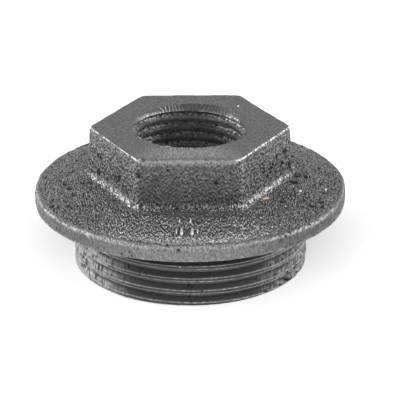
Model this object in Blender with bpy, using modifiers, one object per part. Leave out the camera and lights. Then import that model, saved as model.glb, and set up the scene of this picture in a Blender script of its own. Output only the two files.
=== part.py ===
"""Radiator plug: one grey iron casting with a hexagon head on a conical flange.

The outside of the shank carries a left-hand 1 1/4 inch parallel pipe thread, and the
head is tapped right through with a 1/2 inch parallel pipe thread. The plug stands on
the open end of its shank, with the origin at the centre of that end and +Z up.
Lengths are in metres and angles in radians.
"""
from collections import namedtuple
from math import ceil, cos, floor, pi, radians, sin, tan

import bmesh
import bpy
from mathutils import Matrix, Vector

MM = 0.001

# Male thread on the shank, 1 1/4 inch, left hand, with worn and flattened crests. The
# middle of one crest crosses the +X side at male_crest_height.
male_major_radius = 20.955 * MM
male_pitch = 2.309 * MM
male_crest_flat = 0.60 * MM
male_root_flat = 0.35 * MM
male_hand = -1
male_crest_height = -0.22 * MM

# Female thread through the head, 1/2 inch, right hand. The middle of one root crosses the
# +X side at female_root_height.
female_major_radius = 10.4775 * MM
female_pitch = 1.814 * MM
female_crest_flat = 0.36 * MM
female_root_flat = 0.34 * MM
female_hand = 1
female_root_height = 0.0 * MM

# Angle between the two flanks of both threads
flank_angle = radians(55.0)

# Shank, from its open end up to the sealing face
seat_height = 11.55 * MM
end_chamfer = 0.25 * MM
relief_width = 1.35 * MM
relief_clearance = 0.20 * MM

# Flange: a cone between the level shoulder round the head and the rim
flange_radius = 27.90 * MM
rim_height = 2.65 * MM
flange_slope = radians(16.5)
shoulder_margin = 0.30 * MM
rim_top_round = 0.75 * MM
rim_bottom_round = 0.30 * MM

# Turned recess under the flange, which leaves the sealing face as a ring that a gasket
# reaches over the thread
recess_margin = 0.35 * MM
recess_depth = 0.40 * MM

# Hexagon head, measured at its top
hex_across_flats = 31.20 * MM
hex_height = 8.85 * MM
hex_draft = radians(3.0)
hex_corner_round = 1.50 * MM
hex_top_round = 0.30 * MM
head_fillet = 1.20 * MM

# Cored hollow in the shank
shank_wall = 3.70 * MM
crown_wall = 4.35 * MM
hollow_draft = radians(2.0)
hollow_round = 2.00 * MM

# Countersinks at both ends of the female thread
top_countersink_margin = 0.12 * MM
inner_countersink_margin = 0.42 * MM
countersink_slope = radians(45.0)

# How finely the turned shapes and the threads are divided in one turn, and the rounds
# across their bend
turned_steps = 84
male_steps = 72
female_steps = 42
rim_top_steps = 4
rim_bottom_steps = 2
hex_corner_steps = 3
hex_top_steps = 2
fillet_steps = 4
hollow_steps = 4
round_profile = 0.5

# How far cutters and blanks reach past the shapes they cut, which points count as one,
# which inside corner gets the head's fillet, and which edges stay sharp
overshoot = 2.00 * MM
blank_margin = 0.20 * MM
weld_distance = 0.001 * MM
inside_corner_angle = radians(45.0)
sharp_edge_angle = radians(27.5)


def flank_depth(pitch, crest_flat, root_flat):
    """Depth of a thread whose two flanks fill what the flats leave of the pitch."""
    return (pitch - crest_flat - root_flat) / 2 / tan(flank_angle / 2)


# Sizes that follow from the ones above
male_root_radius = male_major_radius - flank_depth(male_pitch, male_crest_flat, male_root_flat)
female_minor_radius = female_major_radius - flank_depth(female_pitch, female_crest_flat, female_root_flat)
relief_radius = male_root_radius - relief_clearance
hollow_radius = male_root_radius - shank_wall
recess_radius = male_major_radius + recess_margin
recess_height = seat_height + recess_depth

hex_apothem = hex_across_flats / 2
fillet_reach = head_fillet * tan((pi / 2 - hex_draft) / 2)
hex_corner_base = (hex_apothem + hex_height * tan(hex_draft)) / cos(pi / 6)
shoulder_radius = hex_corner_base + fillet_reach + shoulder_margin
rim_top = seat_height + rim_height
shoulder_height = rim_top + (flange_radius - shoulder_radius) * tan(flange_slope)
top_height = shoulder_height + hex_height
hollow_depth = shoulder_height - crown_wall

# A thread as a bar carries it. Its ridges have outer_flat at outer_radius, its grooves
# inner_flat at inner_radius, and a ridge crosses the +X side at ridge_height.
Thread = namedtuple("Thread", ["outer_radius", "inner_radius", "outer_flat", "inner_flat",
                               "pitch", "hand", "ridge_height", "steps"])

male_thread = Thread(male_major_radius, male_root_radius, male_crest_flat, male_root_flat,
                     male_pitch, male_hand, male_crest_height, male_steps)
female_thread = Thread(female_major_radius, female_minor_radius, female_root_flat, female_crest_flat,
                       female_pitch, female_hand, female_root_height, female_steps)


def cast_iron(name):
    """Dull grey iron with a rough cast skin."""
    material = bpy.data.materials.new(name)
    material.use_nodes = True
    shader = material.node_tree.nodes["Principled BSDF"]
    shader.inputs["Base Color"].default_value = (0.115, 0.117, 0.120, 1.0)
    shader.inputs["Roughness"].default_value = 0.62
    shader.inputs["Metallic"].default_value = 0.75
    return material


def add_cutter(name, mesh):
    """A working shape, which joins or cuts the plug and isn't shown."""
    piece = bpy.data.objects.new(name, mesh)
    cutter_collection.objects.link(piece)
    piece.hide_render = True
    piece.display_type = "WIRE"
    return piece


def apply_modifiers(piece):
    """Gives the piece the mesh that its modifiers make, and takes them off."""
    bpy.context.view_layer.update()
    evaluated = piece.evaluated_get(bpy.context.evaluated_depsgraph_get())
    finished = bpy.data.meshes.new_from_object(evaluated)
    piece.modifiers.clear()
    piece.data = finished


def screw(piece, steps, turns, rise):
    """Turns a profile round Z, climbing by rise in each turn."""
    modifier = piece.modifiers.new("screw", "SCREW")
    modifier.axis = "Z"
    modifier.angle = 2 * pi
    modifier.screw_offset = rise
    modifier.iterations = turns
    modifier.steps = steps
    modifier.render_steps = steps
    modifier.use_merge_vertices = True
    modifier.merge_threshold = weld_distance
    apply_modifiers(piece)


def combine(piece, other, operation):
    """Joins other to piece, cuts it away or keeps what both share, and welds the seam."""
    modifier = piece.modifiers.new(operation.lower(), "BOOLEAN")
    modifier.operation = operation
    modifier.solver = "EXACT"
    modifier.object = other
    apply_modifiers(piece)
    bm = bmesh.new()
    bm.from_mesh(piece.data)
    bmesh.ops.remove_doubles(bm, verts=bm.verts, dist=weld_distance)
    bmesh.ops.dissolve_degenerate(bm, edges=bm.edges, dist=weld_distance)
    bm.to_mesh(piece.data)
    bm.free()


def profile_mesh(name, points):
    """A chain of edges through (radius, height) points in the XZ plane."""
    mesh = bpy.data.meshes.new(name)
    vertices = [(radius, 0.0, height) for radius, height in points]
    edges = [(i, i + 1) for i in range(len(points) - 1)]
    mesh.from_pydata(vertices, edges, [])
    return mesh


def corner_arc(corner, before, after, radius, count):
    """Points of a round of that radius where the lines from before and to after meet."""
    corner = Vector(corner)
    to_before = (Vector(before) - corner).normalized()
    to_after = (Vector(after) - corner).normalized()
    half_angle = to_before.angle(to_after) / 2
    centre = corner + (to_before + to_after).normalized() * (radius / sin(half_angle))
    first = corner + to_before * (radius / tan(half_angle)) - centre
    last = corner + to_after * (radius / tan(half_angle)) - centre
    spokes = [first.slerp(last, i / count).normalized() * radius for i in range(count + 1)]
    return [tuple(centre + spoke) for spoke in spokes]


def turned(name, points, steps):
    """A solid of revolution whose profile runs from the axis at the top, down its outside."""
    piece = add_cutter(name, profile_mesh(name, points))
    screw(piece, steps, 1, 0.0)
    return piece


def threaded_rod(name, thread, bottom, top):
    """A bar with a helical thread that covers the heights from bottom to top.

    One pitch of the outline is screwed round the axis once for each turn, the turns are
    welded to each other, and both open ends are drawn in to a point on the axis.
    """
    ridge = thread.outer_flat / 2
    groove = thread.pitch / 2 - thread.inner_flat / 2
    outline = [(thread.outer_radius, thread.pitch), (thread.outer_radius, thread.pitch - ridge),
               (thread.inner_radius, thread.pitch - groove), (thread.inner_radius, groove),
               (thread.outer_radius, ridge), (thread.outer_radius, 0.0)]
    lowest_turn = floor((bottom - thread.ridge_height) / thread.pitch) - 1
    highest_turn = ceil((top - thread.ridge_height) / thread.pitch) + 1
    # A left-hand thread falls as it is turned, so it starts from its highest turn
    first_turn = lowest_turn if thread.hand > 0 else highest_turn - 1
    start = thread.ridge_height + first_turn * thread.pitch
    points = [(radius, start + height) for radius, height in outline]
    piece = add_cutter(name, profile_mesh(name, points))
    screw(piece, thread.steps, highest_turn - lowest_turn, thread.hand * thread.pitch)
    close_on_axis(piece)
    return piece


def close_on_axis(piece):
    """Welds the turns of a screwed surface and draws its two open ends in to the axis."""
    bm = bmesh.new()
    bm.from_mesh(piece.data)
    bmesh.ops.remove_doubles(bm, verts=bm.verts, dist=weld_distance)
    for chain in open_chains(bm):
        heights = [vert.co.z for edge in chain for vert in edge.verts]
        drawn = bmesh.ops.extrude_edge_only(bm, edges=chain)
        verts = [item for item in drawn["geom"] if isinstance(item, bmesh.types.BMVert)]
        middle = sum(heights) / len(heights)
        bmesh.ops.pointmerge(bm, verts=verts, merge_co=(0.0, 0.0, middle))
    bmesh.ops.recalc_face_normals(bm, faces=bm.faces)
    bm.to_mesh(piece.data)
    bm.free()


def open_chains(bm):
    """The open edges of a mesh, one list for each closed chain of them."""
    found = set()
    chains = []
    for first in bm.edges:
        if first in found or not first.is_boundary:
            continue
        found.add(first)
        chain = [first]
        for edge in chain:
            for vert in edge.verts:
                neighbours = [other for other in vert.link_edges
                              if other.is_boundary and other not in found]
                found.update(neighbours)
                chain.extend(neighbours)
        chains.append(chain)
    return chains


def flange():
    """Level shoulder, conical top, rounded rim, flat sealing ring and the recess inside it."""
    shoulder = (shoulder_radius, shoulder_height)
    rim_upper = (flange_radius, rim_top)
    rim_lower = (flange_radius, seat_height)
    seat_inner = (recess_radius, seat_height)
    points = [(0.0, shoulder_height), shoulder]
    points += corner_arc(rim_upper, shoulder, rim_lower, rim_top_round, rim_top_steps)
    points += corner_arc(rim_lower, rim_upper, seat_inner, rim_bottom_round, rim_bottom_steps)
    points += [seat_inner, (recess_radius, recess_height), (0.0, recess_height)]
    return turned("flange", points, turned_steps)


def shank():
    """A screw-cut bar, turned down to its chamfered end, its run-out and its relief neck."""
    sunk_top = seat_height + rim_height / 2
    rod = threaded_rod("male_thread", male_thread, 0.0, sunk_top)
    thread_end = seat_height - relief_width
    blank_radius = male_major_radius + blank_margin
    points = [(0.0, sunk_top), (relief_radius, sunk_top), (relief_radius, thread_end),
              (blank_radius, thread_end - (blank_radius - relief_radius)),
              (blank_radius, end_chamfer + blank_margin),
              (male_major_radius - end_chamfer, 0.0), (0.0, 0.0)]
    combine(rod, turned("shank_blank", points, male_steps), "INTERSECT")
    return rod


def hexagon():
    """The hexagon with its draft, rounded corners and a broken top edge, sunk into the flange."""
    depth = hex_height + overshoot
    base_radius = (hex_apothem + depth * tan(hex_draft)) / cos(pi / 6)
    place = Matrix.Translation((0.0, 0.0, top_height - depth / 2)) @ Matrix.Rotation(pi / 6, 4, "Z")
    bm = bmesh.new()
    bmesh.ops.create_cone(bm, cap_ends=True, segments=6, radius1=base_radius,
                          radius2=hex_apothem / cos(pi / 6), depth=depth, matrix=place)
    corners = [edge for edge in bm.edges if abs(edge.verts[0].co.z - edge.verts[1].co.z) > depth / 2]
    corner_reach = hex_corner_round * tan(pi / 6)
    bmesh.ops.bevel(bm, geom=corners, offset=corner_reach, segments=hex_corner_steps,
                    profile=round_profile, affect="EDGES")
    top_edges = [edge for edge in bm.edges
                 if all(vert.co.z > top_height - weld_distance for vert in edge.verts)]
    bmesh.ops.bevel(bm, geom=top_edges, offset=hex_top_round, segments=hex_top_steps,
                    profile=round_profile, affect="EDGES")
    mesh = bpy.data.meshes.new("hexagon")
    bm.to_mesh(mesh)
    bm.free()
    return add_cutter("hexagon", mesh)


def fillet_head(piece):
    """Rounds the inside corner where the hexagon rises from the level shoulder."""
    bm = bmesh.new()
    bm.from_mesh(piece.data)
    corner = [edge for edge in bm.edges
              if all(abs(vert.co.z - shoulder_height) < weld_distance for vert in edge.verts)
              and edge.calc_face_angle_signed() < -inside_corner_angle]
    bmesh.ops.bevel(bm, geom=corner, offset=fillet_reach, segments=fillet_steps,
                    profile=round_profile, affect="EDGES")
    bm.to_mesh(piece.data)
    bm.free()


def hollow():
    """The cored hollow, which opens at the shank's end and widens to its mouth by its draft."""
    end_radius = hollow_radius - hollow_depth * tan(hollow_draft)
    mouth = (hollow_radius + overshoot * tan(hollow_draft), -overshoot)
    end_centre = (0.0, hollow_depth)
    points = [end_centre]
    points += corner_arc((end_radius, hollow_depth), end_centre, mouth, hollow_round, hollow_steps)
    points += [mouth, (0.0, -overshoot)]
    return turned("hollow", points, turned_steps)


def countersink(name, mouth_radius, height, side):
    """A cone that opens one end of the bore: side is 1 at the head's top, -1 in the hollow."""
    outer_radius = mouth_radius + overshoot / tan(countersink_slope)
    tip = (0.0, height - side * mouth_radius * tan(countersink_slope))
    rim = (outer_radius, height + side * overshoot)
    cap = (0.0, height + side * overshoot)
    points = [cap, rim, tip] if side > 0 else [tip, rim, cap]
    return turned(name, points, female_steps)


def smooth(piece):
    """Shades the rounds smooth and keeps the machined edges sharp."""
    piece.data.shade_smooth()
    piece.data.set_sharp_from_angle(angle=sharp_edge_angle)


for old_object in list(bpy.data.objects):
    bpy.data.objects.remove(old_object, do_unlink=True)

part_collection = bpy.data.collections.new("radiator_plug")
cutter_collection = bpy.data.collections.new("cutters")
bpy.context.scene.collection.children.link(part_collection)
bpy.context.scene.collection.children.link(cutter_collection)

plug = bpy.data.objects.new("plug_body", flange().data.copy())
part_collection.objects.link(plug)

combine(plug, hexagon(), "UNION")
fillet_head(plug)
combine(plug, shank(), "UNION")
combine(plug, hollow(), "DIFFERENCE")

top_mouth = female_major_radius + top_countersink_margin
inner_mouth = female_major_radius + inner_countersink_margin
tap = threaded_rod("female_thread", female_thread, hollow_depth, top_height)
combine(plug, countersink("top_countersink", top_mouth, top_height, 1), "DIFFERENCE")
combine(plug, countersink("inner_countersink", inner_mouth, hollow_depth, -1), "DIFFERENCE")
combine(plug, tap, "DIFFERENCE")

plug.data.materials.clear()
plug.data.materials.append(cast_iron("cast_iron"))
smooth(plug)
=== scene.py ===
from math import cos, pi, radians, sin, sqrt, tan

import bmesh
import bpy
import numpy as np
from mathutils import Matrix, Vector


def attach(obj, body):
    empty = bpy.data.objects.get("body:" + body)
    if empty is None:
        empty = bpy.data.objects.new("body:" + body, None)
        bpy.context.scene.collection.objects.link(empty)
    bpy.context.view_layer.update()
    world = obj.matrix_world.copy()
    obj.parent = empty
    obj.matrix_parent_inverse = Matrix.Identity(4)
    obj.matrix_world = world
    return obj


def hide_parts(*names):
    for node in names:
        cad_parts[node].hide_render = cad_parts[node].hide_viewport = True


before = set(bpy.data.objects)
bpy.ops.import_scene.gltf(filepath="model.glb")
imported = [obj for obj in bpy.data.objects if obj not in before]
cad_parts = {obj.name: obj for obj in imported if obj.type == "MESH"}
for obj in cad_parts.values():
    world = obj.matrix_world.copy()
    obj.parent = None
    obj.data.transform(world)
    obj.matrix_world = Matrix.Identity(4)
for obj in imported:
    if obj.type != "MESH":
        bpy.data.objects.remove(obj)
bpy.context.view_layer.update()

MM = 0.001
COLUMNS = 432
WELD = 0.0005 * MM

# Sizes of the plug, as in its solids
TOP = 25.394 * MM
SHOULDER = 16.544 * MM
SEAT = 11.55 * MM
RIM_TOP = 14.20 * MM
FLANGE_RADIUS = 27.85 * MM
SHOULDER_RADIUS = 19.99 * MM
APOTHEM = 15.60 * MM
DRAFT = radians(3.0)
HEAD_CORNER = 1.60 * MM
FILLET = 1.14 * MM
TOP_ROUND = 0.30 * MM
FRONT_TOP_ROUND = 1.00 * MM
RIM_ROUND = 0.80 * MM
LOWER_ROUND = 0.30 * MM
RECESS_RADIUS = 21.305 * MM
RECESS = 11.95 * MM
NECK_RADIUS = 19.45 * MM
NECK_START = 10.20 * MM
END_CHAMFER = 0.25 * MM
HOLLOW_MOUTH = 15.95 * MM
HOLLOW_END = 15.52 * MM
HOLLOW_DEPTH = 12.194 * MM
HOLLOW_ROUND = 2.00 * MM

# Countersinks. The upper one was cut a little off centre, towards the far right
SINK_RADIUS = 10.60 * MM
SINK_OFFSET = (0.33 * MM, 0.43 * MM)
INNER_SINK_RADIUS = 10.90 * MM

# Casting flaws as x, y, z and radius in millimetres: pits, painted dark in and round them as
# shade, pale grains of sand stuck in the skin, and plain raised marks of the mould, drawn pale,
# with their length instead of a radius
PITS = [(16.9, -2.5, 21.4, 0.42), (15.5, -5.2, 21.4, 0.36), (16.4, -3.7, 19.7, 0.32),
        (17.7, -1.3, 18.5, 0.40), (18.5, -1.1, 16.7, 0.46), (19.1, -1.7, 16.5, 0.44),
        (18.5, -4.7, 16.6, 0.50), (16.1, -12.3, 16.2, 0.42), (14.4, -7.0, 20.2, 0.30),
        (-16.2, -3.6, 21.0, 0.32), (-15.7, -4.5, 21.0, 0.30), (-16.2, -4.1, 18.1, 0.40),
        (-12.3, -10.3, 19.7, 0.36), (-8.7, -15.6, 22.4, 0.34), (-7.9, -15.2, 25.3, 0.28),
        (4.8, -15.9, 21.2, 0.30), (20.7, -1.5, 16.3, 0.38), (23.0, -9.9, 15.1, 0.42),
        (21.5, -12.0, 15.2, 0.40), (23.7, -6.0, 15.0, 0.34), (22.0, -4.2, 15.8, 0.30),
        (19.9, -10.7, 15.6, 0.38), (-24.1, -10.8, 14.7, 0.32), (-21.1, -5.7, 15.9, 0.36),
        (-21.2, -11.8, 15.2, 0.30), (-1.6, -27.6, 13.9, 0.20), (17.1, -10.9, 0.6, 0.50),
        (17.3, -11.8, 2.0, 0.46), (18.8, -9.1, 2.0, 0.50), (19.4, -7.7, 0.2, 0.46),
        (20.1, -5.7, 1.9, 0.42), (13.3, -15.9, 0.4, 0.36), (16.1, -13.1, 0.4, 0.38),
        (-18.5, -10.0, 3.2, 0.30), (-17.2, -12.0, 5.6, 0.26), (-6.6, -19.9, 4.9, 0.26),
        (1.5, -20.9, 4.8, 0.24)]
SAND = [(19.6, -8.0, 16.25, 0.26), (24.2, -4.9, 15.2, 0.22),
        (8.7, 9.8, 25.42, 0.20), (-1.5, -20.9, 7.5, 0.14)]
TAN_SAND = [(13.6, -12.0, 16.6, 0.36), (13.1, -12.2, 16.6, 0.28)]
TICKS = [(-2.0, -23.6, 15.46, 0.60), (-1.1, -23.8, 15.40, 0.95), (0.7, -23.8, 15.40, 0.95),
         (1.6, -23.6, 15.46, 0.60), (-1.5, -20.9, 16.24, 0.50), (0.4, -20.9, 16.24, 0.60)]

# Pits scattered over the skin besides those, their radii in millimetres, and how deep each
# kind goes as a share of its radius. The painted shade round the placed ones spreads wider
SCATTERED_PITS = 110
SCATTERED_RADII = (0.22, 0.42)
PLACED_STEEPNESS, SCATTERED_STEEPNESS = 1.1, 0.5
PLACED_SPREAD, SCATTERED_SPREAD = 1.35, 1.0

# Scattered pits lie only where the skin's mask of roughness passes this
PITTED_ROUGHNESS = 0.84

# Unevenness of the casting: height in millimetres, length of its waves, their number and
# the seed that draws them
SWELLS = [(0.06, 14 * MM, 24, 11), (0.035, 4.5 * MM, 48, 12), (0.030, 1.5 * MM, 96, 13)]

# The foot of the hexagon's sides, where the fillet begins
FOOT = SHOULDER + FILLET
FOOT_APOTHEM = APOTHEM + (TOP - FOOT) * tan(DRAFT)
FLANGE_SLOPE = (SHOULDER - RIM_TOP) / (FLANGE_RADIUS - SHOULDER_RADIUS)

# How softly the flange's level part and its cone join
FLANGE_BEND = 0.22 * MM

# How far from a corner of a thread's ridge its bright mark reaches, partly scuff and partly
# painted highlight, as a share of the pitch
CORNER_REACH = 0.05

# Rows of points over a rounded edge and down the hexagon's sides
ROUND_ROWS = 7
SIDE_ROWS = 19

# The direction of each column, and the directions of four sides in degrees
turn = np.linspace(0.0, 2 * pi, COLUMNS + 1)
FRONT, RIGHT, BACK, LEFT = -90.0, 0.0, 90.0, 180.0


class Thread:
    """A helical thread, given by the radii and flats of its ridges and grooves."""

    def __init__(self, ridge, groove, ridge_flat, groove_flat, pitch, hand, ridge_height):
        self.ridge, self.groove = ridge, groove
        self.ridge_edge = ridge_flat / 2
        self.groove_edge = (pitch - groove_flat) / 2
        self.pitch = pitch
        self.climb = ridge_height + hand * pitch * turn / (2 * pi)

    def radius(self, heights):
        """Radius of the plain helical form at each column, for rows of heights.

        The height above the nearest ridge, folded to half a pitch, runs through the
        ridge's flat, the straight flank and the groove's flat.
        """
        along = (heights - self.climb) / self.pitch
        from_ridge = np.abs(along - np.round(along)) * self.pitch
        return np.interp(from_ridge, [self.ridge_edge, self.groove_edge], [self.ridge, self.groove])

    def heights(self, low, high, steps):
        """Heights of rows that follow the helix, held between a low and a high ring.

        Steps are the distances from a ridge's middle, from 0 to 1 within its flat and from
        1 to 2 along its flank. Rows that pass an end stay on it.
        """
        half = np.interp(steps, [0.0, 1.0, 2.0], [0.0, self.ridge_edge, self.groove_edge])
        one = np.concatenate([half, self.pitch - half[::-1]])
        first = int((low - self.climb.max()) // self.pitch) - 1
        last = int((high - self.climb.min()) // self.pitch) + 2
        rows = np.concatenate([one + k * self.pitch for k in range(first, last)])
        return np.clip(rows[:, None] + self.climb, low, high)

    def masks(self, rows):
        """How near each point is to a corner of a ridge's flat, and how deep in a groove.

        The first falls from 1 at the corner to 0 at CORNER_REACH from it. The second is
        the share of the way from the ridge's radius to the groove's.
        """
        radius, heights = rows[:, 0], rows[:, 1]
        along = (heights - self.climb) / self.pitch
        from_corner = np.abs(np.abs(along - np.round(along)) - self.ridge_edge / self.pitch)
        depth = np.clip((radius - self.ridge) / (self.groove - self.ridge), 0, 1)
        return np.clip(1 - from_corner / CORNER_REACH, 0, 1) * (1 - depth), depth


male = Thread(20.955 * MM, 19.650 * MM, 0.60 * MM, 0.35 * MM, 2.309 * MM, -1, -0.22 * MM)
female = Thread(9.4075 * MM, 10.4775 * MM, 0.36 * MM, 0.34 * MM, 1.814 * MM, 1, 0.907 * MM)


def circle(radius, height):
    """A level ring: the same radius and height at every column."""
    return np.stack([np.full_like(turn, radius), np.full_like(turn, height)])


def hexagon(apothem, height):
    """A level ring in the shape of a hexagon with rounded corners, two of them on the X axis.

    Along a side the radius is the apothem over the cosine of the angle from the side's
    middle. Near a corner it is where that direction leaves the corner's circle, which
    grows as the ring widens past the foot of the sides.
    """
    corner = HEAD_CORNER + np.maximum(0.0, apothem - FOOT_APOTHEM)
    from_middle = np.abs(turn % (pi / 3) - pi / 6)
    side = apothem / np.cos(from_middle)
    centre = (apothem - corner) / cos(pi / 6)
    from_corner = pi / 6 - from_middle
    inside = np.maximum(corner ** 2 - (centre * np.sin(from_corner)) ** 2, 0.0)
    rounded = centre * np.cos(from_corner) + np.sqrt(inside)
    on_side = apothem * np.tan(from_middle) < (apothem - corner) * tan(pi / 6)
    return np.stack([np.where(on_side, side, rounded), np.full_like(turn, height)])


def off_centre(radius):
    """Distance from the axis to a circle whose centre is moved by SINK_OFFSET.

    It is the part of that move along the direction, plus the root of the radius squared
    less the square of its part across the direction.
    """
    along = SINK_OFFSET[0] * np.cos(turn) + SINK_OFFSET[1] * np.sin(turn)
    across = SINK_OFFSET[0] * np.sin(turn) - SINK_OFFSET[1] * np.cos(turn)
    return along + np.sqrt(radius ** 2 - across ** 2)


def ground(radius):
    """Height of the flange: level round the head, then falling as a cone, softly joined.

    With u the fall of the cone's line at that radius, the drop is half the sum of u and
    the root of u squared plus FLANGE_BEND squared, a hyperbola that follows both lines.
    """
    fall = (radius - SHOULDER_RADIUS) * FLANGE_SLOPE
    return SHOULDER - (fall + np.sqrt(fall ** 2 + FLANGE_BEND ** 2)) / 2


def between(first, last, rows):
    """Rows that go straight and evenly from one ring to another.

    The two rings weigh (1-s) and s, as s goes from 0 to 1.
    """
    share = np.linspace(0.0, 1.0, rows)[:, None, None]
    return (1 - share) * first + share * last


def bend(first, corner, last, rows):
    """Rows that leave one ring and meet another, rounding the corner ring between them.

    The three rings weigh (1-s) squared, 2s(1-s) and s squared, as s goes from 0 to 1.
    """
    s = np.linspace(0.0, 1.0, rows)[:, None, None]
    return (1 - s) ** 2 * first + 2 * s * (1 - s) * corner + s ** 2 * last


def towards(angle, reach, soft):
    """1 at columns within reach of a direction, falling smoothly to 0 over soft beyond it.

    All three are in degrees. With u the share of soft that is left, the fall is u squared
    times (3 - 2u).
    """
    away = np.abs((turn - radians(angle) + pi) % (2 * pi) - pi)
    left = np.clip((radians(reach) + radians(soft) - away) / radians(soft), 0.0, 1.0)
    return left ** 2 * (3 - 2 * left)


# The front of the top face, the flange and the rim is smoother, and is painted paler there
# as a painted highlight; before the head the flange is painted dark there as shade
front_pale = towards(FRONT, 14.0, 30.0)
front_wide = towards(FRONT, 40.0, 30.0)


def male_rows():
    """The shank from its neck down to its end: the helical radius, cut by two cones.

    One cone runs the thread out into the neck, and the other is the small chamfer at the
    thread's start.
    """
    heights = male.heights(0.0, NECK_START, [0.55, 1.0, 1.16, 1.5, 2.0])[::-1]
    runout = NECK_RADIUS + (NECK_START - heights)
    chamfer = male.ridge - END_CHAMFER + heights
    radius = np.minimum(male.radius(heights), np.minimum(runout, chamfer))
    return np.stack([radius, heights], axis=1)


def bore_rows():
    """The bore from the hollow up to the top: the helical radius, opened by two cones.

    The upper cone's edge is a little uneven, most of all at the front.
    """
    heights = female.heights(HOLLOW_DEPTH, TOP, [1.0, 1.60, 1.86, 2.0])
    ring = np.stack([np.cos(turn), np.sin(turn), np.zeros_like(turn)], axis=1) * SINK_RADIUS
    near_side = towards(FRONT, 45.0, 25.0)
    chips = MM * waves(ring, 1.3 * MM, 24, 21) * (0.012 + 0.13 * near_side)
    upper = off_centre(SINK_RADIUS) + chips - (TOP - heights)
    lower = INNER_SINK_RADIUS - (heights - HOLLOW_DEPTH)
    radius = np.maximum(female.radius(heights), np.maximum(upper, lower))
    return np.stack([radius, heights], axis=1)


def waves(points, length, count, seed):
    """Smooth noise of about unit strength.

    The sum of cosine waves of about that length in random directions and phases, over the
    square root of half their number.
    """
    random = np.random.default_rng(seed)
    ways = random.normal(size=(count, 3))
    ways /= np.linalg.norm(ways, axis=1)[:, None] * length * random.uniform(0.7, 1.4, (count, 1))
    phases = random.uniform(0.0, 2 * pi, count)
    total = np.zeros(len(points))
    for way, phase in zip(ways, phases):
        total += np.cos(2 * pi * (points @ way) + phase)
    return total / sqrt(count / 2)


def flange_masks(flange):
    """How much painted shade, how rough and how much painted sheen each point of the flange has.

    Painted shade lies on its far side and before the hexagon's foot at the front. Its front is
    smoother and painted paler, a painted highlight, most of all towards the rim.
    """
    outwards = np.clip((flange[:, 0] - 24.8 * MM) / (2.0 * MM), 0.0, 1.0)
    near_foot = np.clip((22.0 * MM - flange[:, 0]) / (2.5 * MM), 0.0, 1.0)
    # Painted shade on the far side, and before the head's foot at the front
    dirt_and_shade = 0.60 * towards(80.0, 75.0, 50.0) + 0.45 * front_pale * near_foot
    rough = 1.0 - 0.15 * front_wide - (0.16 + 0.5 * outwards) * front_pale
    # The front is painted paler towards the rim, a painted highlight
    return dirt_and_shade, rough, 0.6 * front_pale * outwards


def shank_masks(shank):
    """How bright, how dark and how pale each point of the shank is painted.

    The ridges' corners are bright, partly scuffs and partly painted highlight. Its two sides are
    painted pale, partly rub marks and partly a painted reflection, though hardly in the grooves.
    The ridges are painted dark as shade that evens out the light on the flanks, the sides'
    grooves get thin painted shade, and it is darker low down at the front.
    """
    edge, depth = male.masks(shank)
    # The two sides are painted pale: partly rub marks and partly a painted reflection
    rub_and_sheen = np.maximum(1.6 * towards(-165.0, 14.0, 36.0), 0.68 * towards(-27.0, 12.0, 20.0))
    # The ridges are painted dark as shade, which evens out the flanks' light, and the sides' grooves get
    # thin painted shade
    dirt_and_shade = np.maximum(np.clip(1 - 1.8 * depth, 0, 1), 0.8 * depth ** 4 * rub_and_sheen)
    # Darker low down at the front
    low_down = np.clip(1 - shank[:, 1] / (2.2 * MM), 0, 1)
    dirt_and_shade = np.maximum(dirt_and_shade, 0.9 * low_down * front_wide)
    return 1.5 * edge, dirt_and_shade, rub_and_sheen * (1.0 - 0.8 * depth ** 4)


def bore_masks(bore):
    """How bright, how dark and how pale each point of the bore is painted.

    Its flanks carry painted glints where they meet the grooves, most on its two sides. Its
    ridges, the first groove and the far side of the countersink at its mouth are painted dark
    as shade, less so down the flanks, and it has pale specks, more in its deeper flanks.
    """
    depth = female.masks(bore)[1]
    sides = np.maximum(towards(165.0, 25.0, 35.0), towards(15.0, 25.0, 35.0))
    back = towards(BACK, 45.0, 40.0)
    near_mouth = np.clip((bore[:, 1] - (TOP - 3.4 * MM)) / (1.2 * MM), 0.0, 1.0)
    # Painted glints on the flanks next to the grooves, brightest on the two sides
    glints = np.interp(depth, [0.5, 0.86, 1.0], [0.0, 1.0, 0.2]) * (0.16 + 0.72 * sides)
    glints *= 1.0 - 0.2 * near_mouth
    # Painted shade on the ridges, less down the flanks, and on the first groove at the mouth
    ridge_shade = 0.36 + 0.22 * back + 0.35 * sides - (0.3 + 0.35 * sides) * depth
    mouth_shade = 0.3 + 0.3 * np.maximum(back, sides) + 0.6 * depth ** 6
    dirt_and_shade = np.maximum(ridge_shade, mouth_shade * near_mouth)
    # Pale specks, more in the deeper flanks and on the sides
    rub_and_sheen = 0.1 + 0.2 * depth + 0.1 * sides
    # Painted shade on the far side of the countersink
    cone_shade = 0.2 + 0.75 * towards(88.0, 20.0, 20.0)
    wider = bore[:, 0] > female.radius(bore[:, 1]) + 0.01 * MM
    in_cone = wider & (bore[:, 1] > (TOP + HOLLOW_DEPTH) / 2)
    return (np.where(in_cone, 0.0, glints), np.where(in_cone, cone_shade, dirt_and_shade),
            np.where(in_cone, 0.0, rub_and_sheen))


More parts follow.
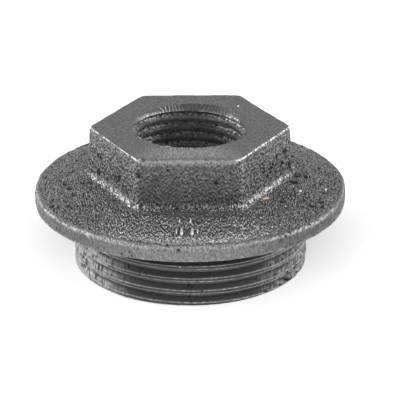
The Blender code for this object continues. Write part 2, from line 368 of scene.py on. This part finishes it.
def plug_sections():
    """Sections of the profile, from the top face down the outside and up through the bore.

    Each is its rows of rings, its finish, and how bright its edges are, as scuffs and painted
    highlight, how sheltered it is, which paints it dark as soiling and painted shade, how rough
    its skin is and how pale it is painted, as rub marks and painted sheen, as shares that may
    pass 1.
    """
    shank, bore = male_rows(), bore_rows()
    front = towards(FRONT, 26.0, 7.0)
    top_round = TOP_ROUND + (FRONT_TOP_ROUND - TOP_ROUND) * front
    top_edge = hexagon(APOTHEM - top_round, TOP)
    side_top = hexagon(APOTHEM + top_round * tan(DRAFT), TOP - top_round)
    foot = hexagon(FOOT_APOTHEM, FOOT)
    fillet = bend(foot, hexagon(FOOT_APOTHEM + FILLET * tan(DRAFT), SHOULDER),
                  hexagon(FOOT_APOTHEM + FILLET, SHOULDER), ROUND_ROWS)
    settle = np.linspace(0.0, 1.0, ROUND_ROWS)[:, None] ** 2
    fillet[:, 1] += settle * (ground(fillet[:, 0]) - SHOULDER)
    rim_start = FLANGE_RADIUS - RIM_ROUND
    flange = between(fillet[-1], circle(rim_start, RIM_TOP), 30)
    flange[:, 1] = ground(flange[:, 0])
    rim_upper = circle(FLANGE_RADIUS, RIM_TOP - RIM_ROUND)
    rim_lower = circle(FLANGE_RADIUS, SEAT + LOWER_ROUND)
    seat_edge = circle(FLANGE_RADIUS - LOWER_ROUND, SEAT)
    recess_edge, recess = circle(RECESS_RADIUS, SEAT), circle(RECESS_RADIUS, RECESS)
    hollow_side = HOLLOW_END + HOLLOW_ROUND * (HOLLOW_MOUTH - HOLLOW_END) / HOLLOW_DEPTH
    hollow_turn = circle(hollow_side, HOLLOW_DEPTH - HOLLOW_ROUND)
    hollow_crown = circle(HOLLOW_END - HOLLOW_ROUND, HOLLOW_DEPTH)
    lip = np.stack([off_centre(SINK_RADIUS + 0.30 * MM), bore[-1, 1]])
    lip_wear = towards(-140.0, 45.0, 30.0) * np.array([[0.9], [0.0]])
    # Painted highlights lie along the middle of a rounded edge, and fewer of them at the front
    crown = np.sin(np.linspace(0.0, pi, ROUND_ROWS))[:, None] ** 2
    top_highlight = 1.45 * crown * (1.0 - 0.97 * front)
    # The rim's upper edge gets a thin painted highlight, none at the front
    rim_highlight = crown ** 2 * (0.6 - 0.6 * front_pale)
    side_corners = np.maximum(towards(RIGHT, 2.0, 7.0), towards(LEFT, 2.0, 7.0))
    # The fillet's bright band is a painted highlight, faint at the front and at the side corners
    fillet_highlight = 1.12 * crown * (1.0 - 0.8 * front) * (1.0 - 0.8 * side_corners)
    # The two upright edges of the front side carry a faint painted highlight
    upright_highlight = 0.14 * np.maximum(towards(-121.3, 0.5, 2.2), towards(-58.7, 0.5, 2.2))
    # Painted shade darkens the rim away from its front, and the hexagon's sides towards their
    # foot and at their front
    rim_shade = 0.7 - 0.7 * front_pale + 0.3 * towards(-20.0, 32.0, 25.0)
    down = np.linspace(0.0, 1.0, SIDE_ROWS)[:, None]
    side_shade = 0.12 + 0.6 * down ** 2 + 0.5 * front
    side_rough = (0.6 + 0.4 * down) * (1.0 - 0.5 * front)
    flange_shade, flange_rough, flange_sheen = flange_masks(flange)
    shank_wear_and_highlight, shank_dirt_and_shade, shank_rub_and_sheen = shank_masks(shank)
    bore_glints, bore_shade, bore_pale_specks = bore_masks(bore)
    return [
        (between(bore[-1], lip, 2), "face", lip_wear, 0.0, 0.15, 0.0),
        # The front of the top face is painted paler, a painted highlight
        (between(lip, top_edge, 12), "face", 0.0, 0.0, 0.15, 0.65 * front_pale),
        (bend(top_edge, hexagon(APOTHEM, TOP), side_top, ROUND_ROWS), "skin",
         top_highlight, 0.0, 0.4 - 0.25 * front, 0.0),
        (between(side_top, foot, SIDE_ROWS), "skin", upright_highlight, side_shade, side_rough, 0.0),
        # The fillet's hollow is painted dark as shade under its painted highlight
        (fillet, "skin", fillet_highlight, 0.3 * crown, 1.0, 0.0),
        (flange, "skin", 0.0, flange_shade, flange_rough, flange_sheen),
        (bend(circle(rim_start, ground(rim_start)), circle(FLANGE_RADIUS, RIM_TOP), rim_upper,
              ROUND_ROWS), "rim", rim_highlight, rim_shade + 0.1, 1.0, 0.0),
        (between(rim_upper, rim_lower, 6), "rim", 0.0, rim_shade, 0.7, 0.0),
        (bend(rim_lower, circle(FLANGE_RADIUS, SEAT), seat_edge, 4), "rim", 0.3, 0.0, 0.3, 0.0),
        (between(seat_edge, recess_edge, 7), "face", 0.0, 0.2, 0.1, 0.0),
        (between(recess_edge, recess, 2), "face", 0.0, 1.0, 0.1, 0.0),
        (between(recess, circle(NECK_RADIUS, RECESS), 3), "face", 0.0, 1.0, 0.1, 0.0),
        (between(circle(NECK_RADIUS, RECESS), shank[0], 4), "thread", 0.0, 1.0, 0.1, 0.0),
        (shank, "thread", shank_wear_and_highlight, shank_dirt_and_shade, 0.3, shank_rub_and_sheen),
        (between(shank[-1], circle(HOLLOW_MOUTH, 0.0), 6), "face", 0.0, 0.0, 0.1, 0.0),
        (between(circle(HOLLOW_MOUTH, 0.0), hollow_turn, 10), "skin", 0.0, 0.5, 0.8, 0.0),
        (bend(hollow_turn, circle(HOLLOW_END, HOLLOW_DEPTH), hollow_crown, 6), "skin",
         0.0, 0.7, 0.8, 0.0),
        (between(hollow_crown, bore[0], 5), "skin", 0.0, 0.5, 0.8, 0.0),
        (bore, "bore", bore_glints, bore_shade, 0.25, bore_pale_specks),
    ]


def weld(mesh):
    """Merges the points of a mesh that lie in one place."""
    bm = bmesh.new()
    bm.from_mesh(mesh)
    bmesh.ops.remove_doubles(bm, verts=bm.verts, dist=WELD)
    bm.to_mesh(mesh)
    bm.free()


def put(name, data):
    """A new object in the scene for a mesh, a lamp or a camera."""
    thing = bpy.data.objects.new(name, data)
    bpy.context.scene.collection.objects.link(thing)
    return thing


def surface(name, sections, finishes):
    """Joins the sections into one closed mesh with the masks that the materials read.

    A point lies at its ring's radius times the cosine and the sine of its direction, and
    at the ring's height there.
    """
    points, faces, slots = [], [], []
    masks = {"edge": [], "shelter": [], "rough": [], "rub_and_sheen": []}
    start = 0
    for rows, finish, *values in sections:
        radius, height = rows[:, 0], rows[:, 1]
        places = np.stack([radius * np.cos(turn), radius * np.sin(turn), height], axis=-1)
        points.append(places.reshape(-1, 3))
        for key, value in zip(masks, values):
            masks[key].append(np.broadcast_to(value, radius.shape).ravel())
        numbers = start + np.arange(radius.size).reshape(radius.shape)
        quads = np.stack([numbers[:-1, :-1], numbers[1:, :-1], numbers[1:, 1:], numbers[:-1, 1:]],
                         axis=-1)
        faces.append(quads.reshape(-1, 4))
        slots.append(np.full(len(faces[-1]), list(finishes).index(finish)))
        start += radius.size
    mesh = bpy.data.meshes.new(name)
    mesh.from_pydata(np.concatenate(points), [], np.concatenate(faces))
    mesh.polygons.foreach_set("material_index", np.concatenate(slots))
    for key, values in masks.items():
        attribute = mesh.attributes.new(key, "FLOAT", "POINT")
        attribute.data.foreach_set("value", np.concatenate(values).astype(np.float32))
    for material in finishes.values():
        mesh.materials.append(material)
    weld(mesh)
    return mesh


def roughen(mesh):
    """Moves each point along its normal by noise, more where the cast skin is rough.

    At a pit it goes in by a bell curve of the distance, and the pit counts as sheltered, which
    paints it dark as shade. A pit lies at the point of the mesh that is nearest to its place.
    """
    count = len(mesh.vertices)
    points, normals = np.empty(count * 3), np.empty(count * 3)
    rough, shelter = np.empty(count, np.float32), np.empty(count, np.float32)
    mesh.vertices.foreach_get("co", points)
    mesh.vertices.foreach_get("normal", normals)
    mesh.attributes["rough"].data.foreach_get("value", rough)
    points, normals = points.reshape(-1, 3), normals.reshape(-1, 3)
    step = sum(tall * waves(points, length, many, seed) for tall, length, many, seed in SWELLS)
    points += normals * (rough * step * MM)[:, None]
    mesh.attributes["shelter"].data.foreach_get("value", shelter)
    random = np.random.default_rng(31)
    skin = points[(rough > PITTED_ROUGHNESS) & ((points[:, 2] > RIM_TOP) | (points[:, 1] > 0.0))]
    chosen = skin[random.integers(len(skin), size=SCATTERED_PITS)]
    more = np.column_stack([chosen / MM, random.uniform(*SCATTERED_RADII, SCATTERED_PITS)])
    steepness = np.repeat([PLACED_STEEPNESS, SCATTERED_STEEPNESS], [len(PITS), SCATTERED_PITS])
    spread = np.repeat([PLACED_SPREAD, SCATTERED_SPREAD], [len(PITS), SCATTERED_PITS])
    for (x, y, z, radius), steep, wide in zip(np.concatenate([PITS, more]), steepness, spread):
        nearest = points[np.argmin(np.sum((points / MM - (x, y, z)) ** 2, axis=1))]
        near = np.exp(-np.sum(((points - nearest) / MM) ** 2, axis=1) / radius ** 2)
        points -= normals * (steep * radius * near * MM)[:, None]
        # Each pit is painted dark in and round it as shade, through the shelter mask
        shelter = np.maximum(shelter, 3.0 * near ** (1.0 / wide ** 2))
    mesh.attributes["shelter"].data.foreach_set("value", np.ascontiguousarray(shelter, np.float32))
    points[:, 2] = np.maximum(points[:, 2], 0.0)
    mesh.vertices.foreach_set("co", points.ravel())
    mesh.update()


def signed_power(values, exponent):
    """The sign of each value times its size to that power."""
    return np.sign(values) * np.abs(values) ** exponent


def beads(name, places, sizes, squareness, material):
    """Small closed rounded blocks sunk halfway into the plug, tilted as the flange is.

    Each is a superellipsoid. With u round it, v from pole to pole and p(t) the sign of t
    times its size to the power of squareness, it is a p(cos v) p(cos u) across,
    b p(cos v) p(sin u) along and c p(sin v) high.
    """
    u, v = np.meshgrid(np.linspace(0.0, 2 * pi, 17), np.linspace(-pi / 2, pi / 2, 9))
    level = signed_power(np.cos(v), squareness)
    across = level * signed_power(np.cos(u), squareness)
    along = level * signed_power(np.sin(u), squareness)
    high = signed_power(np.sin(v), squareness)
    shape = np.stack([across, along, high], axis=-1).reshape(-1, 3)
    slope = np.arctan(FLANGE_SLOPE)
    tilt = np.array([[1, 0, 0], [0, cos(slope), -sin(slope)], [0, sin(slope), cos(slope)]])
    numbers = np.arange(u.size).reshape(u.shape)
    quads = np.stack([numbers[:-1, :-1], numbers[:-1, 1:], numbers[1:, 1:], numbers[1:, :-1]],
                     axis=-1).reshape(-1, 4)
    points = [(shape * np.array(sizes) * radius @ tilt.T + (x, y, z)) * MM
              for x, y, z, radius in places]
    faces = [quads + k * u.size for k in range(len(places))]
    mesh = bpy.data.meshes.new(name)
    mesh.from_pydata(np.concatenate(points), [], np.concatenate(faces))
    weld(mesh)
    mesh.shade_smooth()
    mesh.materials.append(material)
    piece = put(name, mesh)
    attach(piece, "root")


# Materials

def add(tree, kind, inputs=None, **settings):
    """A new shader node with its settings, whose inputs are values or other sockets."""
    node = tree.nodes.new(kind)
    for key, value in settings.items():
        setattr(node, key, value)
    for key, value in (inputs or {}).items():
        if isinstance(value, bpy.types.NodeSocket):
            tree.links.new(value, node.inputs[key])
        else:
            node.inputs[key].default_value = value
    return node


def maths(tree, operation, first, second=0.0, clamp=False):
    """The result of a sum on two numbers, held from 0 to 1 if clamp is given."""
    inputs = {0: first, 1: second}
    return add(tree, "ShaderNodeMath", inputs, operation=operation, use_clamp=clamp).outputs[0]


def times(tree, first, second):
    """The product of two numbers."""
    return maths(tree, "MULTIPLY", first, second)


def cloud(tree, place, scale, detail=2.0):
    """Noise from 0 to 1 at a place, so many waves to the metre."""
    inputs = {"Vector": place, "Scale": scale, "Detail": detail}
    return add(tree, "ShaderNodeTexNoise", inputs).outputs["Fac"]


def stretch(tree, value, low, high, to_low=0.0, to_high=1.0):
    """The value's range from low to high, moved to a new range and held inside it."""
    inputs = {"Value": value, "From Min": low, "From Max": high, "To Min": to_low, "To Max": to_high}
    return add(tree, "ShaderNodeMapRange", inputs).outputs["Result"]


def mix(tree, share, first, second):
    """A colour between two others."""
    inputs = {"Factor": share, 6: first, 7: second}
    return add(tree, "ShaderNodeMix", inputs, data_type="RGBA").outputs[2]


def mask(tree, name):
    """One of the mesh's masks, by name."""
    return add(tree, "ShaderNodeAttribute", attribute_name=name).outputs["Fac"]


def group(name, inputs, outputs):
    """An empty node group with named number inputs and outputs."""
    tree = bpy.data.node_groups.new(name, "ShaderNodeTree")
    for key, (kind, value) in inputs.items():
        socket = tree.interface.new_socket(key, in_out="INPUT", socket_type=kind)
        socket.default_value = value
    for key in outputs:
        tree.interface.new_socket(key, in_out="OUTPUT", socket_type="NodeSocketFloat")
    return tree, tree.nodes.new("NodeGroupInput"), tree.nodes.new("NodeGroupOutput")


def cast_grain():
    """Sand-cast grain: a bumpy height, a light and dark mottle that follows it and so paints its
    hollows darker as shade, and scattered small pits.
    """
    tree, given, result = group("cast grain", {"Scale": ("NodeSocketFloat", 2000.0)},
                                ["Height", "Mottle", "Pits"])
    here = add(tree, "ShaderNodeTexCoord").outputs["Object"]
    place = add(tree, "ShaderNodeMapping", {"Vector": here, "Scale": (1.7, 0.65, 0.9)}).outputs["Vector"]
    scale = given.outputs["Scale"]
    coarse = cloud(tree, place, scale, 0.0)
    fine = cloud(tree, place, times(tree, scale, 1.9), 0.0)
    pit_scale = times(tree, scale, 0.35)
    cells = add(tree, "ShaderNodeTexVoronoi", {"Vector": place, "Scale": pit_scale}).outputs["Distance"]
    chance = cloud(tree, place, times(tree, scale, 0.12))
    pits = times(tree, stretch(tree, cells, 0.30, 0.12), stretch(tree, chance, 0.50, 0.62))
    height = maths(tree, "ADD", times(tree, coarse, 0.75), times(tree, fine, 0.25))
    pitted = maths(tree, "SUBTRACT", height, times(tree, pits, 0.15))
    tree.links.new(pitted, result.inputs["Height"])
    # The mottle follows the height: the grain's hollows are painted darker as shade, its tops paler
    tree.links.new(stretch(tree, height, 0.34, 0.66), result.inputs["Mottle"])
    tree.links.new(pits, result.inputs["Pits"])
    return tree


def turning_marks():
    """Fine rings left by a turning tool: a sine over the distance along the profile."""
    tree, given, result = group("turning marks", {"Spacing": ("NodeSocketFloat", 0.00025)}, ["Height"])
    place = add(tree, "ShaderNodeTexCoord").outputs["Object"]
    parts = add(tree, "ShaderNodeSeparateXYZ", {"Vector": place})
    x, y, z = (parts.outputs[k] for k in "XYZ")
    squares = maths(tree, "ADD", times(tree, x, x), times(tree, y, y))
    distance = maths(tree, "ADD", maths(tree, "SQRT", squares), z)
    phase = maths(tree, "DIVIDE", times(tree, distance, 2 * pi), given.outputs["Spacing"])
    wobble = maths(tree, "ADD", phase, times(tree, cloud(tree, place, 300.0), 9.0))
    tree.links.new(maths(tree, "SINE", wobble), result.inputs["Height"])
    return tree


def rub_and_sheen_marks():
    """Pale short strokes on places marked by rubbing and painted sheen: noise drawn out along an
    axis turned as Slant says.

    Strokes begin where the noise passes From and are full where it reaches To.
    """
    tree, given, result = group("rub marks", {"Scale": ("NodeSocketFloat", 3000.0),
                                              "Slant": ("NodeSocketVector", (0.0, 0.0, 0.0)),
                                              "From": ("NodeSocketFloat", 0.32),
                                              "To": ("NodeSocketFloat", 0.60)}, ["Height", "Stroke"])
    here = add(tree, "ShaderNodeTexCoord").outputs["Object"]
    turned = add(tree, "ShaderNodeMapping", {"Vector": here, "Rotation": given.outputs["Slant"],
                                             "Scale": (1.0, 1.0, 7.0)}, vector_type="TEXTURE")
    noise = cloud(tree, turned.outputs["Vector"], given.outputs["Scale"], 1.0)
    tree.links.new(times(tree, noise, mask(tree, "rub_and_sheen")), result.inputs["Height"])
    stroke = stretch(tree, noise, given.outputs["From"], given.outputs["To"])
    tree.links.new(times(tree, stroke, mask(tree, "rub_and_sheen")), result.inputs["Stroke"])
    return tree


def chatter_marks():
    """Ticks that a jumping countersink left in one side of its cone: a sine over the direction.

    Noise shifts them and thins them out, and they fade towards the other side.
    """
    tree, given, result = group("chatter marks", {"Bottom": ("NodeSocketFloat", 24.3 * MM)},
                                ["Height", "Tick"])
    here = add(tree, "ShaderNodeTexCoord").outputs["Object"]
    parts = add(tree, "ShaderNodeSeparateXYZ", {"Vector": here})
    angle = maths(tree, "ARCTAN2", parts.outputs["Y"], parts.outputs["X"])
    noise = cloud(tree, here, 260.0)
    phase = maths(tree, "ADD", times(tree, angle, 100.0), times(tree, noise, 24.0))
    wave = maths(tree, "SINE", phase)
    above = maths(tree, "GREATER_THAN", parts.outputs["Z"], given.outputs["Bottom"])
    side = stretch(tree, parts.outputs["X"], -1.0 * MM, -5.0 * MM, 0.12, 1.0)
    patchy = times(tree, times(tree, above, side), stretch(tree, noise, 0.38, 0.56))
    tree.links.new(times(tree, wave, patchy), result.inputs["Height"])
    tree.links.new(times(tree, stretch(tree, wave, 0.3, 1.0), patchy), result.inputs["Tick"])
    return tree


def edge_wear_and_highlights():
    """Scuffs and painted highlights on edges: the mesh's edge mask, broken up by noise that leaves a
    share of it.
    """
    tree, given, result = group("edge wear", {"Amount": ("NodeSocketFloat", 1.0),
                                              "Least": ("NodeSocketFloat", 0.0)}, ["Wear"])
    place = add(tree, "ShaderNodeTexCoord").outputs["Object"]
    specks = stretch(tree, cloud(tree, place, 2000.0), 0.42, 0.57)
    patches = stretch(tree, cloud(tree, place, 170.0), 0.3, 0.6, 0.5, 1.0)
    broken = maths(tree, "MAXIMUM", times(tree, specks, patches), given.outputs["Least"])
    wear_and_sheen = times(tree, mask(tree, "edge"), broken)
    tree.links.new(maths(tree, "MULTIPLY", wear_and_sheen, given.outputs["Amount"], True), result.inputs["Wear"])
    return tree


def grime_and_shade():
    """Dark soiling and painted shade in sheltered places, from the mesh's shelter mask and noise."""
    tree, given, result = group("grime_and_shade", {"Amount": ("NodeSocketFloat", 1.0)}, ["Dirt"])
    place = add(tree, "ShaderNodeTexCoord").outputs["Object"]
    patches = stretch(tree, cloud(tree, place, 500.0, 3.0), 0.3, 0.6, 0.6, 1.0)
    dirt_and_shade = times(tree, mask(tree, "shelter"), patches)
    tree.links.new(maths(tree, "MULTIPLY", dirt_and_shade, given.outputs["Amount"], True), result.inputs["Dirt"])
    return tree


GRAIN, MARKS, RUBS_AND_SHEEN, CHATTER = cast_grain(), turning_marks(), rub_and_sheen_marks(), chatter_marks()
WEAR_AND_HIGHLIGHTS, GRIME_AND_SHADE = edge_wear_and_highlights(), grime_and_shade()

# The greys of soiling and painted shade, and of the grain's small pits, painted dark as shade,
# and how blue the iron's own greys are
DIRT_AND_SHADE_GREY, PIT_SHADE_GREY, COOL = 0.02, 0.015, 0.02

# How far the mottle moves a finish's roughness either way, how much the mask of soiling and
# painted shade adds to it, the share of the grain's height that this mask leaves, and the
# chatter's height in millimetres
MOTTLE_ROUGHNESS, DIRT_AND_SHADE_ROUGHNESS, GRAIN_LEFT, CHATTER_HEIGHT = 0.08, 0.4, 0.15, 0.03


def grey(level, cool=0.0):
    """A grey, slightly blue where cool is above 0."""
    return (level * (1 - cool), level, level * (1 + cool), 1.0)


def iron(name, dark, light, worn_and_lit_grey, roughness, metallic, grain_scale, grain_height,
         wear_and_sheen, dirt_and_shade, least_edge_share=0.0, pale=0.0, rub_height=0.0, rub_scale=3000.0, slant=48.0,
         strokes=(0.32, 0.60), chatter=0.0, mark_height=0.0, mark_spacing=0.22 * MM):
    """Iron with cast grain, tool marks, bright edges and dark sheltered places, each in its own
    measure. The bright edges are partly scuffs and partly painted highlight, and the dark
    places partly soiling and partly painted shade.

    Dark and light are the greys of its mottle, and the grey after them that of its scuffs,
    painted highlights, chatter ticks and pale strokes. Heights are in millimetres, and slant is
    in degrees.
    """
    material = bpy.data.materials.new(name)
    material.use_nodes = True
    tree = material.node_tree
    shader = tree.nodes["Principled BSDF"]
    grain = add(tree, "ShaderNodeGroup", {"Scale": grain_scale}, node_tree=GRAIN)
    marks = add(tree, "ShaderNodeGroup", {"Spacing": mark_spacing}, node_tree=MARKS)
    edges = add(tree, "ShaderNodeGroup", {"Amount": wear_and_sheen, "Least": least_edge_share}, node_tree=WEAR_AND_HIGHLIGHTS)
    soil_and_shade = add(tree, "ShaderNodeGroup", {"Amount": dirt_and_shade}, node_tree=GRIME_AND_SHADE)
    lines = {"Scale": rub_scale, "Slant": (radians(slant), 0.0, 0.0),
             "From": strokes[0], "To": strokes[1]}
    rubs_and_sheen = add(tree, "ShaderNodeGroup", lines, node_tree=RUBS_AND_SHEEN)
    ticks = add(tree, "ShaderNodeGroup", node_tree=CHATTER)
    # The mottle paints the grain's hollows darker as shade
    spread = times(tree, maths(tree, "SUBTRACT", grain.outputs["Mottle"], 0.5), mask(tree, "rough"))
    colour = mix(tree, maths(tree, "ADD", spread, 0.5), grey(dark), grey(light, COOL))
    # Pale strokes where the mesh's mask of rubbing and sheen lies: partly rub marks, partly painted
    # sheen
    colour = mix(tree, times(tree, rubs_and_sheen.outputs["Stroke"], pale), colour, grey(worn_and_lit_grey, COOL))
    tick_wear = times(tree, ticks.outputs["Tick"], chatter)
    bright = maths(tree, "ADD", edges.outputs["Wear"], tick_wear, True)
    # Soiling and painted shade darken the colour, scuffs and painted highlights brighten it, and the
    # grain's pits are painted dark as shade
    colour = mix(tree, soil_and_shade.outputs["Dirt"], colour, grey(DIRT_AND_SHADE_GREY))
    colour = mix(tree, bright, colour, grey(worn_and_lit_grey, COOL))
    colour = mix(tree, grain.outputs["Pits"], colour, grey(PIT_SHADE_GREY))
    tree.links.new(colour, shader.inputs["Base Color"])
    # Soiling and painted shade make the iron duller and flatten its grain
    rough = stretch(tree, grain.outputs["Mottle"], 0.0, 1.0,
                    roughness + MOTTLE_ROUGHNESS, roughness - MOTTLE_ROUGHNESS)
    rough = maths(tree, "ADD", rough, times(tree, soil_and_shade.outputs["Dirt"], DIRT_AND_SHADE_ROUGHNESS), True)
    tree.links.new(rough, shader.inputs["Roughness"])
    shader.inputs["Metallic"].default_value = metallic
    relief = times(tree, times(tree, grain.outputs["Height"], grain_height), mask(tree, "rough"))
    relief = times(tree, relief, stretch(tree, soil_and_shade.outputs["Dirt"], 0.0, 1.0, 1.0, GRAIN_LEFT))
    height = maths(tree, "ADD", relief, times(tree, marks.outputs["Height"], mark_height))
    height = maths(tree, "ADD", height, times(tree, rubs_and_sheen.outputs["Height"], rub_height))
    chatter_height = times(tree, ticks.outputs["Height"], CHATTER_HEIGHT * chatter)
    height = maths(tree, "ADD", height, chatter_height)
    bump = add(tree, "ShaderNodeBump", {"Height": height, "Strength": 1.0, "Distance": MM})
    tree.links.new(bump.outputs["Normal"], shader.inputs["Normal"])
    return material


finishes = {
    "skin": iron("cast_skin", dark=0.02, light=0.27, worn_and_lit_grey=0.95, roughness=0.39, metallic=0.80,
                 grain_scale=2300.0, grain_height=1.5, wear_and_sheen=1.0, dirt_and_shade=0.5, pale=0.3),
    "rim": iron("rim_skin", dark=0.12, light=0.26, worn_and_lit_grey=0.80, roughness=0.42, metallic=0.60,
                grain_scale=2100.0, grain_height=0.30, wear_and_sheen=0.8, dirt_and_shade=0.55),
    "face": iron("turned_face", dark=0.02, light=0.165, worn_and_lit_grey=0.75, roughness=0.42, metallic=0.60,
                 grain_scale=2600.0, grain_height=3.4, wear_and_sheen=1.6, dirt_and_shade=0.6, pale=0.4,
                 mark_height=0.004),
    "thread": iron("cut_thread", dark=0.05, light=0.15, worn_and_lit_grey=0.75, roughness=0.34, metallic=0.50,
                   grain_scale=2200.0, grain_height=0.15, wear_and_sheen=0.55, least_edge_share=0.4, dirt_and_shade=0.7,
                   pale=1.0, rub_height=0.06, slant=-68.0, strokes=(0.34, 0.58)),
    "bore": iron("bore_thread", dark=0.06, light=0.11, worn_and_lit_grey=0.95, roughness=0.28, metallic=0.50,
                 grain_scale=2200.0, grain_height=0.4, wear_and_sheen=1.8, dirt_and_shade=0.9, pale=1.6,
                 rub_scale=4000.0, slant=90.0, strokes=(0.61, 0.66), chatter=0.38),
}
# The mould's raised marks are drawn paler than the skin
TICK_IRON = iron("pale_tick", dark=0.40, light=0.65, worn_and_lit_grey=0.6, roughness=0.30, metallic=0.60,
                 grain_scale=2200.0, grain_height=0.0, wear_and_sheen=0.0, dirt_and_shade=0.0)

plug_mesh = surface("plug_iron", plug_sections(), finishes)
roughen(plug_mesh)
plug_mesh.shade_smooth()
plug_mesh.set_sharp_from_angle(angle=radians(32.0))
plug = put("plug_iron", plug_mesh)
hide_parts("plug_body")
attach(plug, "root")


def sand(name, red, green, blue):
    """A dry grain of sand."""
    material = bpy.data.materials.new(name)
    material.use_nodes = True
    shader = material.node_tree.nodes["Principled BSDF"]
    shader.inputs["Base Color"].default_value = (red, green, blue, 1.0)
    shader.inputs["Roughness"].default_value = 0.6
    return material


beads("sand_grains", SAND, (1.0, 1.0, 0.7), 1.0, sand("pale_sand", 0.75, 0.75, 0.73))
beads("tan_sand_grains", TAN_SAND, (1.0, 0.8, 0.7), 1.0, sand("tan_sand", 0.62, 0.48, 0.33))
beads("mould_ticks", TICKS, (0.27, 1.05, 0.55), 0.6, TICK_IRON)


# Stage, light and camera

def see_white(tree, plain, strength):
    """A background's strength to the camera, gloss and glass, and a plain one to all else."""
    path = add(tree, "ShaderNodeLightPath")
    seen = maths(tree, "MAXIMUM", path.outputs["Is Camera Ray"], path.outputs["Is Glossy Ray"])
    seen = maths(tree, "MAXIMUM", seen, path.outputs["Is Transmission Ray"])
    return stretch(tree, seen, 0.0, 1.0, plain, strength)


floor_mesh = bpy.data.meshes.new("floor")
reach = 3.0
corners = [(-reach, -reach, 0), (reach, -reach, 0), (reach, reach, 0), (-reach, reach, 0)]
floor_mesh.from_pydata(corners, [], [(0, 1, 2, 3)])
floor = put("floor", floor_mesh)
floor_material = bpy.data.materials.new("floor_white")
floor_material.use_nodes = True
floor_tree = floor_material.node_tree
floor_shader = floor_tree.nodes["Principled BSDF"]
floor_shader.inputs["Base Color"].default_value = (0.88, 0.88, 0.88, 1.0)
floor_shader.inputs["Roughness"].default_value = 0.9
floor_shader.inputs["Specular IOR Level"].default_value = 0.1
floor_shader.inputs["Emission Color"].default_value = (1.0, 1.0, 1.0, 1.0)
floor_tree.links.new(see_white(floor_tree, plain=0.0, strength=0.35),
                     floor_shader.inputs["Emission Strength"])
# From below the floor can't be seen, so that the underside of the plug can
from_below = add(floor_tree, "ShaderNodeNewGeometry").outputs["Backfacing"]
through = add(floor_tree, "ShaderNodeBsdfTransparent")
floor_mix = add(floor_tree, "ShaderNodeMixShader",
                {0: from_below, 1: floor_shader.outputs[0], 2: through.outputs[0]})
floor_tree.links.new(floor_mix.outputs[0], floor_tree.nodes["Material Output"].inputs["Surface"])
floor_mesh.materials.append(floor_material)

world = bpy.data.worlds.new("studio")
bpy.context.scene.world = world
world.use_nodes = True
world.node_tree.nodes["Background"].inputs["Color"].default_value = (1.0, 1.0, 1.0, 1.0)
world.node_tree.links.new(see_white(world.node_tree, plain=0.24, strength=1.0),
                          world.node_tree.nodes["Background"].inputs["Strength"])


# The plug's middle, which the lamps face
MIDDLE = Vector((0.0, 0.0, 14 * MM))


def softbox(name, place, size, power):
    """A square area lamp that faces the plug's middle."""
    lamp = bpy.data.lights.new(name, "AREA")
    lamp.shape, lamp.size, lamp.energy = "SQUARE", size, power
    holder = put(name, lamp)
    holder.location = place
    holder.rotation_euler = (MIDDLE - Vector(place)).to_track_quat("-Z", "Y").to_euler()


softbox("softbox_left", (-0.73, 0.10, 0.30), size=0.20, power=3.7)
softbox("softbox_right", (0.73, 0.10, 0.30), size=0.20, power=3.0)
softbox("softbox_front", (0.0, -1.10, 0.80), size=1.50, power=17.0)

# The camera looks down at the plug from the front, a little to the right
TILT, TURN, ROLL = radians(22.873), radians(0.98), radians(-0.497)
DISTANCE, AIM = 449.07 * MM, Vector((0.0, 0.0, 16.0 * MM))
look = Matrix.Rotation(TURN, 3, "Z") @ Vector((0.0, cos(TILT), -sin(TILT)))
level = Matrix.Rotation(TURN, 3, "Z") @ Vector((1.0, 0.0, 0.0))
upright = level.cross(look)
right = cos(ROLL) * level + sin(ROLL) * upright
up = cos(ROLL) * upright - sin(ROLL) * level
camera = put("camera", bpy.data.cameras.new("camera"))
axes = Matrix((right, up, -look)).transposed()
camera.matrix_world = Matrix.Translation(AIM - look * DISTANCE) @ axes.to_4x4()
camera.data.sensor_width = 36.0
camera.data.lens = 225.07
camera.data.shift_x, camera.data.shift_y = 0.0248, -0.0626
camera.data.clip_start, camera.data.clip_end = 0.01, 20.0
bpy.context.scene.camera = camera

bpy.context.scene.view_settings.view_transform = "Standard"
